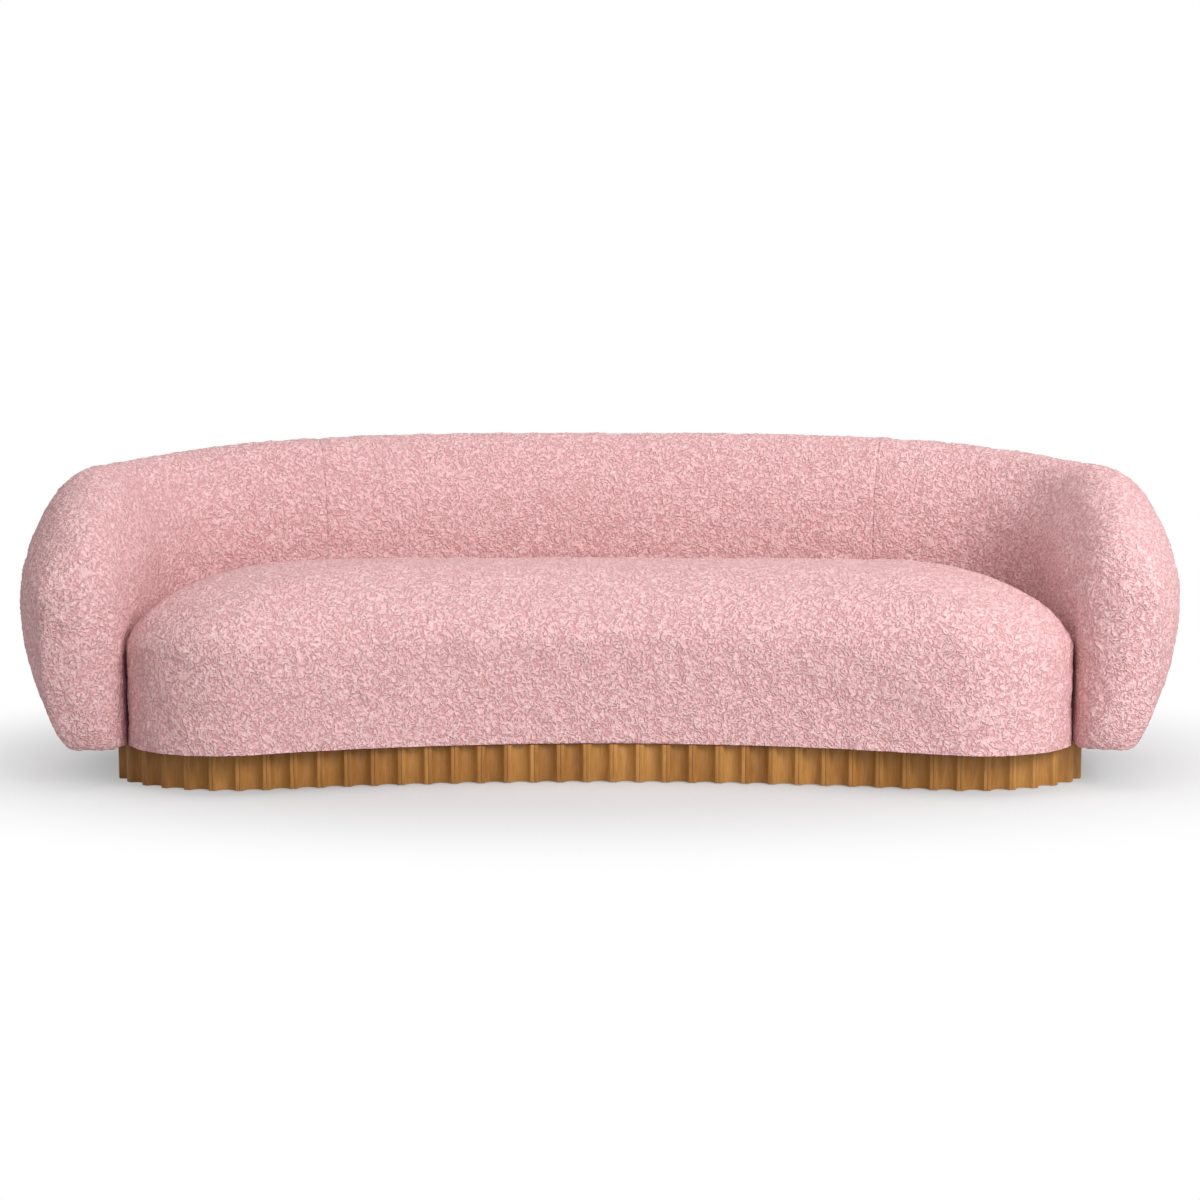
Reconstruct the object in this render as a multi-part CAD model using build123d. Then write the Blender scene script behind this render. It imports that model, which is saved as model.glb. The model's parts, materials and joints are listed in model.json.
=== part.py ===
from build123d import *
import os
from math import atan, atan2, cos, pi, sin, sqrt

# Curved three-seat sofa: one wrapped back and arms around a tight crowned seat,
# standing on a low plinth that is faced with upright coved staves.
# Millimetres. X runs to the right, the open front looks towards -Y, Z is up,
# and the origin is on the floor under the middle of the sofa.

# Overall sizes
overall_length = 2400.0
overall_depth = 1086.0
overall_height = 688.0
arm_height = 624.0
body_bottom = 78.0
seat_height = 418.0

# Wrap: the fat roll of the back and arms
wrap_thickness = 260.0
crest_setback = 150.0
bulge_height = 346.0
shoulder_height = 420.0
tuck = 104.0
back_radius = 2340.0
corner_radius = 520.0
crest_fall_exponent = 1.73

# Rounded ends of the arms
tip_setback = 28.0
tip_side_gap = 221.0
tip_height = 388.0
under_tip_length = 50.0
inner_round_length = 190.0
tip_side_exponent = 2.24
tip_top_exponent = 1.6
tip_round_exponent = 2.0
nose_station_shares = (0, 0.18, 0.34, 0.48, 0.6, 0.7, 0.78, 0.85, 0.91, 0.96)

# Seat: a tight crowned cushion with a scooped front
lobe_side_gap = 201.0
lobe_radius = 214.0
seat_scoop = 144.0
seat_corner_radius = 90.0
seat_edge_height = 270.0
seat_roll = 310.0
seat_top_lobe_radius = 110.0
seat_top_corner_radius = 70.0
seat_crown_turn_shares = (0.14, 0.28, 0.42, 0.56, 0.7, 0.84, 1)
scoop_kept_share = 0.7
rear_bow_kept_share = 0.25

# How finely the soft forms are faceted
back_span_count = 10
seam_span_count = 4
corner_span_count = 6
side_facet_count = 4
top_facet_count = 6
front_facet_count = 8
bow_facet_count = 8
lobe_facet_count = 5
corner_facet_count = 4
cove_facet_count = 6
stave_back_facet_count = 4
round_facet_count = 12

# Layers of the upholstery
cover = 6.0
ease = 0.5
inner_foam = 31.0
back_skin = 3.0
strap = 2.0
seat_skirt = 24.0
seat_platform_height = 262.0
seat_back_gap = 3.0
seat_corner_relief = 10.0
felt = 6.0

# Timber of the body
deck = 18.0
dust_cloth = 1.0
former = 18.0
former_web = 46.0
rail = 25.0
cross_rail = 22.0
cross_rail_height = 100.0
cross_rail_spread = 560.0
crest_rail_width = 50.0
crest_rail = 15.0
crest_rail_drop = 18.0
lumbar_rail_height = 80.0
lumbar_rail = 15.0
lumbar_height = 290.0
notch_gap = 0.3
former_ease = 1.2
corner_former_numbers = (2, 4)
arm_former_numbers = (1, 3, 5)

# Webbing
webbing_width = 70.0
webbing = 3.0
webbing_count = 13
cross_webbing_count = 4
cross_webbing_share = 0.6
back_strap_width = 50.0
back_strap_heights = (130.0, 210.0)

# Plinth
plinth_side_setback = 226.0
plinth_setback = 58.0
plinth_scoop = 90.0
plinth_lobe_side_gap = 250.0
plinth_lobe_radius = 300.0
plinth_corner_radius = 80.0
plinth_rear_setback = 190.0
plinth_rear_rise = 120.0
plinth_rear_corner_radius = 300.0
glide = 4.0
glide_diameter = 30.0
board = 15.0
plinth_wall = 12.0
plinth_rib = 18.0
plinth_rib_pitch = 320.0
plinth_rib_count = 4

# Coved staves
stave_pitch = 52.0
stave_thickness = 26.0
stave_flat = 14.0
cove_depth = 15.0
stave_gap = 0.4
stave_lift = 1.5

# Fasteners
bolt_shank = 8.0
bolt_head = 16.0
bolt_head_height = 5.0
washer_diameter = 24.0
washer = 2.0
tee_flange = 22.0
tee_flange_height = 1.5
tee_barrel = 11.0
hole_gap = 0.2
bolt_spread = 720.0
bolt_inset = 130.0

overrun = 30.0

half_length = overall_length / 2
half_depth = overall_depth / 2
rear_y = half_depth
front_y = -half_depth
tip_y = front_y + tip_setback
crest_to_inner = wrap_thickness - crest_setback
back_centre_y = rear_y - back_radius
corner_centre_x = half_length - corner_radius
corner_centre_y = back_centre_y + sqrt((back_radius - corner_radius) ** 2 - corner_centre_x ** 2)
corner_start_angle = atan2(corner_centre_y - back_centre_y, corner_centre_x)
back_run = back_radius * (pi / 2 - corner_start_angle)
corner_run = corner_radius * corner_start_angle
corner_sag = corner_radius * (1 - cos(corner_start_angle / corner_span_count / 2))
nose_length = corner_centre_y - tip_y
arm_inner_x = half_length - wrap_thickness
lobe_spread = arm_inner_x - lobe_side_gap
tip_side = half_length - tip_side_gap
plinth_half = half_length - plinth_side_setback
plinth_lobe_spread = plinth_half - plinth_lobe_side_gap
deck_bottom = body_bottom + dust_cloth
deck_top = deck_bottom + deck
former_inset = cover + 3 * ease + inner_foam + strap
skin_far = former_inset - ease
skin_near = skin_far - back_skin
rail_near = cover + 2 * ease + seat_skirt
rail_far = rail_near + rail
rail_top = seat_platform_height - felt - 2 * webbing - 2 * ease
plinth_floor = glide + board
plinth_ceiling = body_bottom - board


def save(name, *shapes):
    """Write one node of the sofa."""
    whole = shapes[0] if len(shapes) == 1 else Compound(children=list(shapes))
    export_step(whole, "parts/" + name + ".step")
    print(name, len(shapes), "pieces", round(sum(s.volume for s in shapes)))


def swell(share, exponent):
    """Rise from 0 to 1 along a rounded nose, full and flat at its far end."""
    share = min(max(share, 0), 1)
    return (1 - (1 - share) ** exponent) ** (1 / exponent)


def facets(ring, following, turned):
    """Flat faces between two neighbouring closed rings of points, split the other way from turned on."""
    faces = []
    for i in range(len(ring)):
        a, b, c, d = ring[i - 1], ring[i], following[i], following[i - 1]
        halves = ((a, b, c), (a, c, d)) if i < turned else ((a, b, d), (b, c, d))
        for corners in halves:
            faces.append(Face(Wire.make_polygon(corners)))
    return faces


def faceted(rings, turned=None):
    """Closed solid of flat faces through rings that have equally many points, each ring flat."""
    faces = [Face(Wire.make_polygon(rings[0])), Face(Wire.make_polygon(rings[-1]))]
    for ring, following in zip(rings, rings[1:]):
        faces += facets(ring, following, turned or len(ring))
    solid = Solid(Shell(faces))
    return solid if solid.volume > 0 else Solid(solid.wrapped.Reversed())


# Cross-sections of the wrap

class Section:
    """One upright cut through the wrap: where it stands and how far it reaches."""

    def __init__(self, x, y, angle, inset, crest, low, outer=None, inner=None, bulge=None, shoulder=None,
                 base=None):
        self.x, self.y = x, y
        self.nx, self.ny = cos(angle), sin(angle)
        self.outer = crest_setback - inset if outer is None else outer
        self.inner = crest_to_inner - inset if inner is None else inner
        self.bulge = bulge_height if bulge is None else bulge
        self.shoulder = shoulder_height if shoulder is None else shoulder
        self.crest = crest
        self.low = low
        self.base = body_bottom if base is None else base
        draw = tuck * (self.outer + self.inner) / (wrap_thickness - 2 * inset)
        height = self.bulge - body_bottom
        self.side_radius = (draw ** 2 + height ** 2) / (2 * draw) - inset

    def point(self, out, z):
        return Vector(self.x + out * self.nx, self.y + out * self.ny, z)

    def under(self, z):
        """Reach of the tucked lower side at height z."""
        return self.outer - self.side_radius + sqrt(self.side_radius ** 2 - (self.bulge - z) ** 2)

    def top(self, turn, out):
        """Point of the rolled top, from the side (turn 0) to the crest (turn 1)."""
        foot = self.bulge if out > 0 else self.shoulder
        return self.point(out * cos(turn * pi / 2), foot + (self.crest - foot) * sin(turn * pi / 2))

    def outer_points(self):
        """From the bottom of the outer side up to the crest."""
        step = (self.bulge - self.base) / side_facet_count
        heights = [self.base + step * i for i in range(side_facet_count)]
        points = [self.point(self.under(height), height) for height in heights]
        points[0] += (points[1] - points[0]) * ((self.low - self.base) / step)
        return points + [self.top(i / top_facet_count, self.outer) for i in range(top_facet_count + 1)]

    def inner_points(self):
        """From the crest down the inner side to the bottom."""
        points = [self.top(1 - i / top_facet_count, -self.inner) for i in range(top_facet_count + 1)]
        return points + [self.point(-self.inner, self.low)]

    def ring(self):
        return self.outer_points() + self.inner_points()[1:]

    def plate(self, along):
        """Board of the section's shape, as thick as along is long."""
        return Solid.extrude(Face(Wire.make_polygon(self.ring())), along)


def crest_height(run):
    """Height of the roll at a run along the widest line from the rear middle."""
    share = min(abs(run) / (back_run + corner_run), 1) ** crest_fall_exponent
    return overall_height - (overall_height - arm_height) * (1 - cos(pi * share)) / 2


def back_section(run, inset, low):
    """Section of the back or a rear corner, on the right where run is positive."""
    side = 1 if run >= 0 else -1
    length = abs(run)
    if length <= back_run:
        angle = pi / 2 - length / back_radius
        centre_x, centre_y, radius = 0, back_centre_y, back_radius
    else:
        angle = corner_start_angle - (length - back_run) / corner_radius
        centre_x, centre_y, radius = corner_centre_x, corner_centre_y, corner_radius
    reach = radius - crest_setback
    x = side * (centre_x + reach * cos(angle))
    y = centre_y + reach * sin(angle)
    return Section(x, y, angle if side > 0 else pi - angle, inset, crest_height(run) - inset, low)


def nose_section(y, side, inset):
    """Section of a rounded arm end at depth y, drawn in all round by inset."""
    run = y - (tip_y + inset)
    length = nose_length - inset
    full = swell(run / length, tip_side_exponent)
    inner_full = swell(run / inner_round_length, tip_round_exponent)
    rise = swell(run / length, tip_top_exponent)
    under = swell(run / under_tip_length, tip_round_exponent)
    outer_x = tip_side + (half_length - inset - tip_side) * full
    inner_x = tip_side - (tip_side - arm_inner_x - inset) * inner_full
    crest_x = inner_x + (outer_x - inner_x) * (crest_to_inner - inset) / (wrap_thickness - 2 * inset)
    crest = tip_height + (arm_height - inset - tip_height) * rise
    low = tip_height - (tip_height - body_bottom - inset) * under
    base = tip_height - (tip_height - body_bottom) * under
    bulge = tip_height + (bulge_height - tip_height) * rise
    shoulder = tip_height + (shoulder_height - tip_height) * rise
    angle = 0 if side > 0 else pi
    return Section(side * crest_x, y, angle, inset, crest, low, outer_x - crest_x, crest_x - inner_x,
                   bulge, shoulder, base)


def nose_stations(inset):
    """Depths of the sections of an arm end, closer together towards the tip."""
    return [tip_y + inset + (nose_length - inset) * (1 - sin(share * pi / 2)) for share in nose_station_shares]


def nose_solid(side, inset):
    """The arm end, drawn in by inset, as one closed dome."""
    return faceted([nose_section(y, side, inset).ring() for y in nose_stations(inset)])


def runs(start, end, count):
    return [start + (end - start) * i / count for i in range(count + 1)]


def strip(run_list, near, far, points_of, low):
    """A layer of the wrap between two insets, on the outer or the inner side."""
    rings = []
    for run in run_list:
        outer_line = points_of(back_section(run, near, low))
        inner_line = points_of(back_section(run, far, low))
        rings.append(outer_line + inner_line[::-1])
    return faceted(rings, len(outer_line))


# Outlines in plan

class Plan:
    """Closed outline: scooped front, two lobes, corners, straight sides and a bowed rear."""

    def __init__(self, half, lobe_y, scoop, lobe_x, lobe_r, corner_r, rear, rear_rise, rear_corner_r):
        self.half = half
        self.front_r = (lobe_x ** 2 + scoop ** 2 - 2 * lobe_r * scoop) / (2 * scoop)
        self.front_c = Vector(0, lobe_y + scoop - self.front_r)
        self.lobe_r, self.lobe_c = lobe_r, Vector(lobe_x, lobe_y + lobe_r)
        self.corner_r = corner_r
        reach = half - corner_r - lobe_x
        self.corner_c = Vector(half - corner_r, lobe_y + lobe_r - sqrt((lobe_r - corner_r) ** 2 - reach ** 2))
        self.rear_corner_r = rear_corner_r
        self.rear_corner_c = Vector(half - rear_corner_r, rear - rear_rise - rear_corner_r)
        reach = half - rear_corner_r
        self.rear_r = rear_corner_r + (reach ** 2 + rear_rise ** 2) / (2 * rear_rise)
        self.rear_c = Vector(0, rear - self.rear_r)

    def arcs(self):
        """Right half from the front middle round to the rear middle: centre, radius, angles, way."""
        joint = self.lobe_c - self.front_c
        lobe_start = atan2(-joint.Y, -joint.X) + 2 * pi
        turn = self.corner_c - self.lobe_c
        lobe_end = atan2(turn.Y, turn.X)
        lobe_end += 2 * pi if lobe_end < pi else 0
        back = self.rear_corner_c - self.rear_c
        back_angle = atan2(back.Y, back.X)
        return [
            (self.front_c, self.front_r, pi / 2, atan2(joint.Y, joint.X), 1),
            (self.lobe_c, self.lobe_r, lobe_start, lobe_end, -1),
            (self.corner_c, self.corner_r, lobe_end, 2 * pi, -1),
            (self.rear_corner_c, self.rear_corner_r, 0, back_angle, -1),
            (self.rear_c, self.rear_r, back_angle, pi / 2, -1),
        ]

    def half_edges(self, inset, z, side, first=0, last=5):
        """Edges of one half, drawn in by inset, in the order of arcs()."""
        edges = []
        for centre, radius, start, end, way in self.arcs()[first:last]:
            radius += way * inset
            spots = [centre + Vector(radius * cos(a), radius * sin(a)) for a in (start, (start + end) / 2, end)]
            spots = [Vector(side * p.X, p.Y, z) for p in spots]
            if edges and (edges[-1] @ 1 - spots[0]).length > ease / 1000:
                edges.append(Line(edges[-1] @ 1, spots[0]))
            edges.append(ThreePointArc(*spots))
        return edges

    def wire(self, inset, z):
        """The whole outline, in order, starting where the front scoop meets the left lobe."""
        right = self.half_edges(inset, z, 1)
        left = self.half_edges(inset, z, -1)
        front = ThreePointArc(left[0] @ 1, right[0] @ 0, right[0] @ 1)
        rear = ThreePointArc(right[-1] @ 0, right[-1] @ 1, left[-1] @ 0)
        back_again = [edge.reversed() for edge in reversed(left[1:-1])]
        return Wire([front] + right[1:-1] + [rear] + back_again)

    def ring(self, inset, z):
        """The whole outline as points, in order from the front middle round by the right side."""
        counts = (front_facet_count, lobe_facet_count, corner_facet_count, lobe_facet_count, bow_facet_count)
        right = []
        for index, (centre, radius, start, end, way) in enumerate(self.arcs()):
            radius += way * inset
            first = 0 if index in (0, 3) else 1
            for i in range(first, counts[index] + 1):
                angle = start + (end - start) * i / counts[index]
                right.append(Vector(centre.X + radius * cos(angle), centre.Y + radius * sin(angle), z))
        return right + [Vector(-p.X, p.Y, z) for p in right[-2:0:-1]]

    def prism(self, inset, bottom, top):
        return Solid.extrude(Face(self.wire(inset, bottom)), Vector(0, 0, top - bottom))

    def front_y(self, x, inset):
        """Depth of the front line at x."""
        x = abs(x)
        radius = self.front_r + inset
        lobe, corner = self.lobe_r - inset, self.corner_r - inset
        scoop_end = self.front_c + (self.lobe_c - self.front_c).normalized() * radius
        lobe_end = self.lobe_c + (self.corner_c - self.lobe_c).normalized() * lobe
        if x <= scoop_end.X:
            return self.front_c.Y + sqrt(radius ** 2 - x ** 2)
        if x <= lobe_end.X:
            return self.lobe_c.Y - sqrt(lobe ** 2 - (x - self.lobe_c.X) ** 2)
        return self.corner_c.Y - sqrt(corner ** 2 - (x - self.corner_c.X) ** 2)

    def rear_y(self, x, inset):
        """Depth of the rear line at x."""
        x = abs(x)
        radius, corner = self.rear_r - inset, self.rear_corner_r - inset
        corner_start = self.rear_c + (self.rear_corner_c - self.rear_c).normalized() * radius
        if x <= corner_start.X:
            return self.rear_c.Y + sqrt(radius ** 2 - x ** 2)
        return self.rear_corner_c.Y + sqrt(corner ** 2 - (x - self.rear_corner_c.X) ** 2)

    def side_x(self, y, inset):
        """Half width at a depth behind the front corner."""
        if y <= self.rear_corner_c.Y:
            return self.half - inset
        corner, radius = self.rear_corner_r - inset, self.rear_r - inset
        joint = self.rear_c + (self.rear_corner_c - self.rear_c).normalized() * radius
        if y <= joint.Y:
            return self.rear_corner_c.X + sqrt(corner ** 2 - (y - self.rear_corner_c.Y) ** 2)
        return sqrt(max(radius ** 2 - (y - self.rear_c.Y) ** 2, 0))


def band(plan, near, far, bottom, top, side, first, last):
    """Upright strip that follows part of one half of a plan, between two insets."""
    outer = plan.half_edges(near, bottom, side, first, last)
    inner = plan.half_edges(far, bottom, side, first, last)
    ends = [Line(outer[0] @ 0, inner[0] @ 0), Line(outer[-1] @ 1, inner[-1] @ 1)]
    return Solid.extrude(Face(Wire(outer + inner + ends)), Vector(0, 0, top - bottom))


def seat_plan(level):
    """Plan of the seat at a level of its roll, 0 at the edge and 1 on top."""
    draw = seat_roll * level
    half = arm_inner_x - ease
    side_share = (half - seat_corner_radius - lobe_spread) / (lobe_radius - seat_corner_radius)
    lobe = lobe_radius + (seat_top_lobe_radius - lobe_radius) * level
    corner = seat_corner_radius + (seat_top_corner_radius - seat_corner_radius) * level
    lobe_x = half - draw - corner - side_share * (lobe - corner)
    rear = rear_y - wrap_thickness - seat_back_gap
    inner_corner = corner_radius - wrap_thickness - seat_back_gap
    bow = (rear - corner_centre_y - inner_corner) * (1 - (1 - rear_bow_kept_share) * level)
    inner_corner += seat_corner_relief
    scoop = seat_scoop * (1 - (1 - scoop_kept_share) * level)
    rear_corner = inner_corner + (seat_top_corner_radius - inner_corner) * level
    return Plan(half - draw, front_y + draw, scoop, lobe_x, lobe, corner, rear - draw, bow, rear_corner)


def seat_solid(inset):
    """The crowned seat drawn in all round by inset, down to the bottom of the body."""
    rings = [seat_plan(0).ring(inset, body_bottom), seat_plan(0).ring(inset, seat_edge_height)]
    for turn in seat_crown_turn_shares:
        level = 1 - cos(turn * pi / 2)
        height = seat_edge_height + (seat_height - inset - seat_edge_height) * sin(turn * pi / 2)
        rings.append(seat_plan(level).ring(inset, height))
    return faceted(rings)


def below(height):
    """Everything of the body that lies under a height."""
    size = overall_length + 2 * overrun
    corner = Vector(-size / 2, -size / 2, -overrun)
    return Solid.make_box(size, size, height + overrun, Plane(corner))


def slab(low_x, low_y, low_z, high_x, high_y, high_z):
    return Solid.make_box(high_x - low_x, high_y - low_y, high_z - low_z, Plane(Vector(low_x, low_y, low_z)))


def round_bar(x, y, bottom, top, diameter):
    """Upright round bar with a few flats, enough for a small fastener."""
    angles = [2 * pi * i / round_facet_count for i in range(round_facet_count)]
    reach = diameter / 2
    points = [Vector(x + reach * cos(a), y + reach * sin(a), bottom) for a in angles]
    return Solid.extrude(Face(Wire.make_polygon(points)), Vector(0, 0, top - bottom))


def solid_of(shape):
    """The one solid that a cut or a union leaves."""
    return max(shape.solids(), key=lambda piece: piece.volume)


def both_halves(plan, near, far, bottom, top, first, last):
    right = band(plan, near, far, bottom, top, 1, first, last)
    left = band(plan, near, far, bottom, top, -1, first, last)
    return solid_of(right + left)


# Footprint of the body

def nose_foot(y, side, inset, inner):
    """Where an arm end meets the bottom of the body at depth y."""
    cut = nose_section(y, side, inset)
    return cut.point(-cut.inner if inner else cut.under(body_bottom), 0)


def wrap_foot_edges(side, inset, z):
    """Right or left half of the foot of the wrap, from the rear middle to the inner side of the arm."""
    draw = crest_setback - back_section(0, inset, body_bottom).under(body_bottom)
    back, corner = back_radius - draw, corner_radius - draw
    half_way = (pi / 2 + corner_start_angle) / 2
    spots = [Vector(0, back_centre_y + back)]
    spots += [Vector(back * cos(a), back_centre_y + back * sin(a)) for a in (half_way, corner_start_angle)]
    spots += [Vector(corner_centre_x + corner * cos(a), corner_centre_y + corner * sin(a))
              for a in (corner_start_angle / 2, 0)]
    start = tip_y + under_tip_length + 2 * inset
    span = corner_centre_y - start
    spots += [nose_foot(start + span * share, 1, inset, False) for share in (2 / 3, 1 / 3, 1 / 8, 0)]
    spots = [Vector(side * p.X, p.Y, z) for p in spots]
    inner_end = tip_y + inner_round_length + inset
    inner = [nose_foot(y, side, inset, True) for y in (start, (start + inner_end) / 2, inner_end)]
    inner = [Vector(p.X, p.Y, z) for p in inner]
    arcs = [ThreePointArc(*spots[i:i + 3]) for i in range(0, len(spots) - 2, 2)]
    return arcs + [Line(spots[-1], inner[0]), ThreePointArc(*inner)]


def footprint(inset, bottom, top):
    """Board that fills the foot of the whole body, drawn in by inset."""
    right = wrap_foot_edges(1, inset, bottom)
    left = wrap_foot_edges(-1, inset, bottom)
    closing = Line(right[-1] @ 1, left[-1] @ 1)
    wrap_part = Solid.extrude(Face(Wire(right + [closing] + left)), Vector(0, 0, top - bottom))
    return solid_of(wrap_part + seat_plan(0).prism(inset, bottom, top))


# Plinth

def plinth_plan():
    return Plan(plinth_half, front_y + plinth_setback, plinth_scoop, plinth_lobe_spread, plinth_lobe_radius,
                plinth_corner_radius, rear_y - plinth_rear_setback, plinth_rear_rise, plinth_rear_corner_radius)


def walk(plan, distance, inset):
    """Point at a distance along the outline from the front middle, drawn in by inset."""
    side = 1 if distance >= 0 else -1
    left = abs(distance)
    half = half_perimeter(plan)
    if left > half:
        left, side = 2 * half - left, -side
    for index, (centre, radius, start, end, way) in enumerate(plan.arcs()):
        if index == 3:
            straight = plan.rear_corner_c.Y - plan.corner_c.Y
            if left <= straight:
                return Vector(side * (plan.half - inset), plan.corner_c.Y + left)
            left -= straight
        length = radius * abs(end - start)
        if left <= length or index == 4:
            angle = start + (end - start) * left / length
            reach = radius + way * inset
            return Vector(side * (centre.X + reach * cos(angle)), centre.Y + reach * sin(angle))
        left -= length


def half_perimeter(plan):
    curved = sum(radius * abs(end - start) for centre, radius, start, end, way in plan.arcs())
    return curved + plan.rear_corner_c.Y - plan.corner_c.Y


def stave(plan, middle, pitch):
    """One upright stave: two flat edges with a cove between them, its back bent to the wall."""
    reach = (pitch - stave_gap) / 2
    cove = (pitch - stave_flat) / 2
    radius = (cove ** 2 + cove_depth ** 2) / (2 * cove_depth)
    half_turn = 2 * atan(cove_depth / cove)
    spots = [(-reach, 0)]
    for i in range(cove_facet_count + 1):
        angle = half_turn * (2 * i / cove_facet_count - 1)
        spots.append((radius * sin(angle), cove_depth - radius * (1 - cos(angle))))
    spots.append((reach, 0))
    for i in range(stave_back_facet_count + 1):
        spots.append((reach * (1 - 2 * i / stave_back_facet_count), stave_thickness - ease))
    points = [walk(plan, middle + along, inset) + Vector(0, 0, stave_lift) for along, inset in spots]
    return Solid.extrude(Face(Wire.make_polygon(points)), Vector(0, 0, body_bottom - ease - stave_lift))


def make_staves():
    plan = plinth_plan()
    half = half_perimeter(plan)
    count = 2 * round(half / stave_pitch)
    pitch = 2 * half / count
    groups = {"front": [], "rear": [], "left": [], "right": []}
    for number in range(count):
        middle = (number if number <= count / 2 else number - count) * pitch
        spot = walk(plan, middle, 0)
        where = "right" if spot.X > 0 else "left"
        if spot.Y < plan.corner_c.Y:
            where = "front"
        elif spot.Y > plan.rear_corner_c.Y + plan.rear_corner_r * sin(pi / 4):
            where = "rear"
        groups[where].append(stave(plan, middle, pitch))
    for where, pieces in groups.items():
        save("plinth_" + where + "_staves", *pieces)


def bolt_places():
    plan = plinth_plan()
    wall = stave_thickness + plinth_wall
    places = []
    for x in (-bolt_spread, bolt_spread):
        places.append((x, plan.front_y(x, wall) + bolt_inset))
        places.append((x, plan.rear_y(x, wall) - bolt_inset))
    return places


def drilled(solid, diameter):
    """The solid with a hole at each bolt."""
    for x, y in bolt_places():
        solid = solid - round_bar(x, y, -overrun, deck_top + overrun, diameter)
    return solid_of(solid)


def make_plinth():
    plan = plinth_plan()
    outside, inside = stave_thickness, stave_thickness + plinth_wall
    save("plinth_bottom_board", plan.prism(outside, glide, plinth_floor))
    save("plinth_top_board", drilled(plan.prism(outside, plinth_ceiling, body_bottom), bolt_shank + 2 * hole_gap))
    save("plinth_front_wall", both_halves(plan, outside, inside, plinth_floor, plinth_ceiling, 0, 3))
    save("plinth_rear_wall", both_halves(plan, outside, inside, plinth_floor, plinth_ceiling, 3, 5))
    low, high = plan.corner_c.Y, plan.rear_corner_c.Y
    save("plinth_right_wall", slab(plan.half - inside, low, plinth_floor, plan.half - outside, high, plinth_ceiling))
    save("plinth_left_wall", slab(outside - plan.half, low, plinth_floor, inside - plan.half, high, plinth_ceiling))
    ribs = []
    for i in range(plinth_rib_count):
        x = (i - (plinth_rib_count - 1) / 2) * plinth_rib_pitch
        sides = (x - plinth_rib / 2, x + plinth_rib / 2)
        start = max(plan.front_y(side, inside) for side in sides)
        end = min(plan.rear_y(side, inside) for side in sides)
        ribs.append(slab(sides[0], start + notch_gap, plinth_floor, sides[1], end - notch_gap, plinth_ceiling))
    save("plinth_cross_ribs", *ribs)
    glides = []
    for x in (-bolt_spread, -bolt_spread / 3, bolt_spread / 3, bolt_spread):
        for y in (plan.front_y(x, outside) + glide_diameter, plan.rear_y(x, outside) - glide_diameter):
            glides.append(round_bar(x, y, 0, glide, glide_diameter))
    save("plinth_glides", *glides)


def make_fasteners():
    bolts, washers, nuts = [], [], []
    for x, y in bolt_places():
        under = plinth_ceiling - washer
        head = round_bar(x, y, under - bolt_head_height, under, bolt_head)
        bolts.append(solid_of(head + round_bar(x, y, under, deck_top + tee_flange_height, bolt_shank)))
        bore = round_bar(x, y, 0, deck_top + overrun, bolt_shank + 2 * hole_gap)
        washers.append(solid_of(round_bar(x, y, under, plinth_ceiling, washer_diameter) - bore))
        flange = round_bar(x, y, deck_top, deck_top + tee_flange_height, tee_flange)
        nuts.append(solid_of(flange + round_bar(x, y, deck_bottom, deck_top, tee_barrel) - bore))
    save("plinth_bolts", *bolts)
    save("plinth_washers", *washers)
    save("tee_nuts", *nuts)


# Body frame

def make_deck():
    near = cover + ease + corner_sag
    hole = tee_barrel + 2 * hole_gap
    save("dust_cover", drilled(footprint(near, body_bottom, deck_bottom), hole))
    save("deck_board", drilled(footprint(near, deck_bottom, deck_top), hole))


def make_seat_frame():
    plan = seat_plan(0)
    save("front_seat_rail", both_halves(plan, rail_near, rail_far, deck_top, rail_top, 0, 3))
    save("rear_seat_rail", both_halves(plan, rail_near, rail_far, deck_top, rail_top, 3, 5))
    low, high = plan.corner_c.Y, plan.rear_corner_c.Y
    save("right_seat_rail", slab(plan.half - rail_far, low, deck_top, plan.half - rail_near, high, rail_top))
    save("left_seat_rail", slab(rail_near - plan.half, low, deck_top, rail_far - plan.half, high, rail_top))
    stretchers = []
    for x in (-cross_rail_spread, 0, cross_rail_spread):
        sides = (x - cross_rail / 2, x + cross_rail / 2)
        start = max(plan.front_y(side, rail_far) for side in sides) + notch_gap
        end = min(plan.rear_y(side, rail_far) for side in sides) - notch_gap
        stretchers.append(slab(sides[0], start, deck_top, sides[1], end, deck_top + cross_rail_height))
    save("seat_cross_rails", *stretchers)


def make_webbing():
    plan = seat_plan(0)
    middle = (rail_near + rail_far) / 2
    pitch = 2 * plan.corner_c.X / webbing_count
    straps = []
    for i in range(webbing_count):
        x = (i - (webbing_count - 1) / 2) * pitch
        sides = (x - webbing_width / 2, x + webbing_width / 2)
        start = max(plan.front_y(side, middle) for side in sides)
        end = min(plan.rear_y(side, middle) for side in sides)
        straps.append(slab(sides[0], start, rail_top, sides[1], end, rail_top + webbing))
    save("seat_webbing_front_to_rear", *straps)
    first = plan.front_y(0, rail_far) + ease
    room = (plan.rear_y(0, rail_far) - first) * cross_webbing_share
    straps = []
    for i in range(cross_webbing_count):
        y = first + room * i / (cross_webbing_count - 1)
        reach = plan.side_x(y + webbing_width, middle)
        bottom = rail_top + webbing
        straps.append(slab(-reach, y, bottom, reach, y + webbing_width, bottom + webbing))
    save("seat_webbing_side_to_side", *straps)


def make_seat():
    near = cover + ease
    top = seat_platform_height
    save("seat_felt", seat_plan(0).prism(near + seat_skirt + ease, top - felt - ease, top - ease))
    hollow = seat_plan(0).prism(near + seat_skirt, deck_top, top)
    save("seat_foam", solid_of(seat_solid(near) - hollow - below(deck_top + ease)))
    pocket = footprint(cover, body_bottom - overrun, deck_top + ease)
    save("seat_cover", solid_of(seat_solid(0) - seat_solid(cover) - pocket))


# Back frame

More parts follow.
